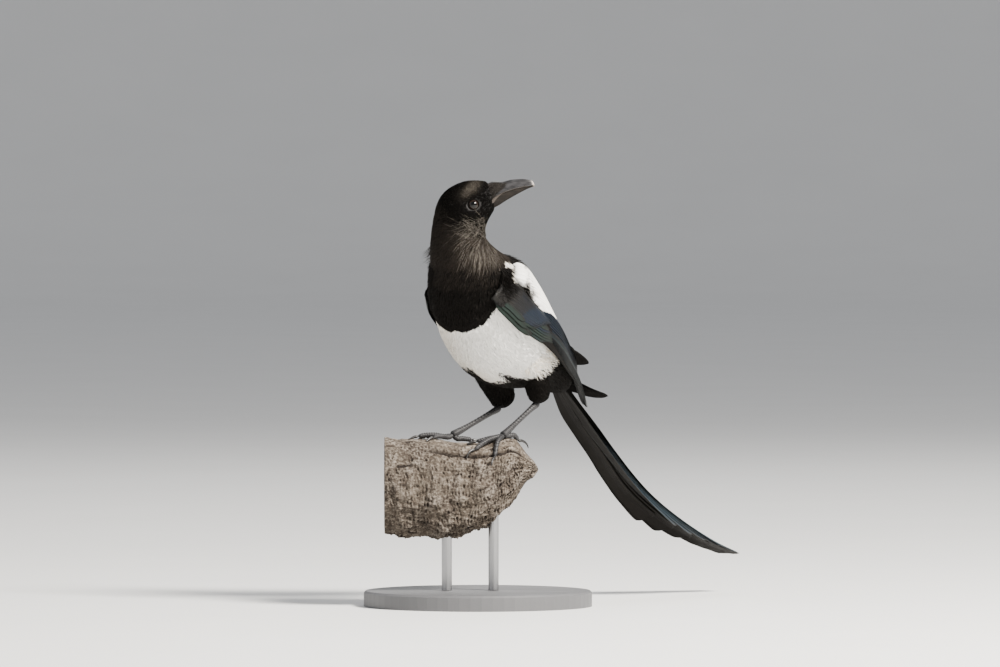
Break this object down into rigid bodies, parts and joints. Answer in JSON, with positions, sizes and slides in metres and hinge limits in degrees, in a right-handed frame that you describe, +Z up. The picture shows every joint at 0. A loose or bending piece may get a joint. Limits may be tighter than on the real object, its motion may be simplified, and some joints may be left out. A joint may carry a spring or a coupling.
{
  "type": "eurasian magpie on a perch with a display stand",
  "caption": "Life-size still model of a Eurasian magpie looking back over its shoulder, its feet gripping a cut length of dead limb on a plain round stand.",
  "frame": {"origin": "centre of the underside of the round stand base, on the floor", "axes": "+Z up; the bird's body faces -Y and its tail runs towards +Y; +X is the bird's left side"},
  "size_m": [0.176, 0.382, 0.3288],
  "materials": {
    "black_feather": "velvety black body feathers",
    "white_feather": "soft white body feathers",
    "wing_feather": "glossy black flight feathers with a blue-green sheen",
    "tail_feather": "glossy black tail feathers with a green, bronze and purple sheen",
    "horn": "satin black horn",
    "eye": "wet dark brown eye",
    "scaly_leg": "dark grey scaly skin",
    "bark": "weathered dead wood",
    "stand": "plain dark grey satin paint"
  },
  "bodies": {
    "root": {"belly": "white_feather", "bill_lower": "horn", "bill_upper": "horn", "breast": "black_feather", "claw_left_hind": "horn", "claw_left_inner": "horn", "claw_left_middle": "horn", "claw_left_outer": "horn", "claw_right_hind": "horn", "claw_right_inner": "horn", "claw_right_middle": "horn", "claw_right_outer": "horn", "eye_left": "eye", "eye_right": "eye", "head": "black_feather", "neck": "black_feather", "perch": "bark", "primaries_left": "wing_feather", "primaries_right": "wing_feather", "scapulars_left": "white_feather", "scapulars_right": "white_feather", "secondaries_left": "wing_feather", "secondaries_right": "wing_feather", "stand_base": "stand", "stand_rod_back": "stand", "stand_rod_front": "stand", "tail": "tail_feather", "tarsus_left": "scaly_leg", "tarsus_right": "scaly_leg", "thigh_left": "black_feather", "thigh_right": "black_feather", "toe_left_hind": "scaly_leg", "toe_left_inner": "scaly_leg", "toe_left_middle": "scaly_leg", "toe_left_outer": "scaly_leg", "toe_right_hind": "scaly_leg", "toe_right_inner": "scaly_leg", "toe_right_middle": "scaly_leg", "toe_right_outer": "scaly_leg", "vent": "black_feather", "wing_coverts_left": "wing_feather", "wing_coverts_right": "wing_feather"}
  },
  "joints": []
}
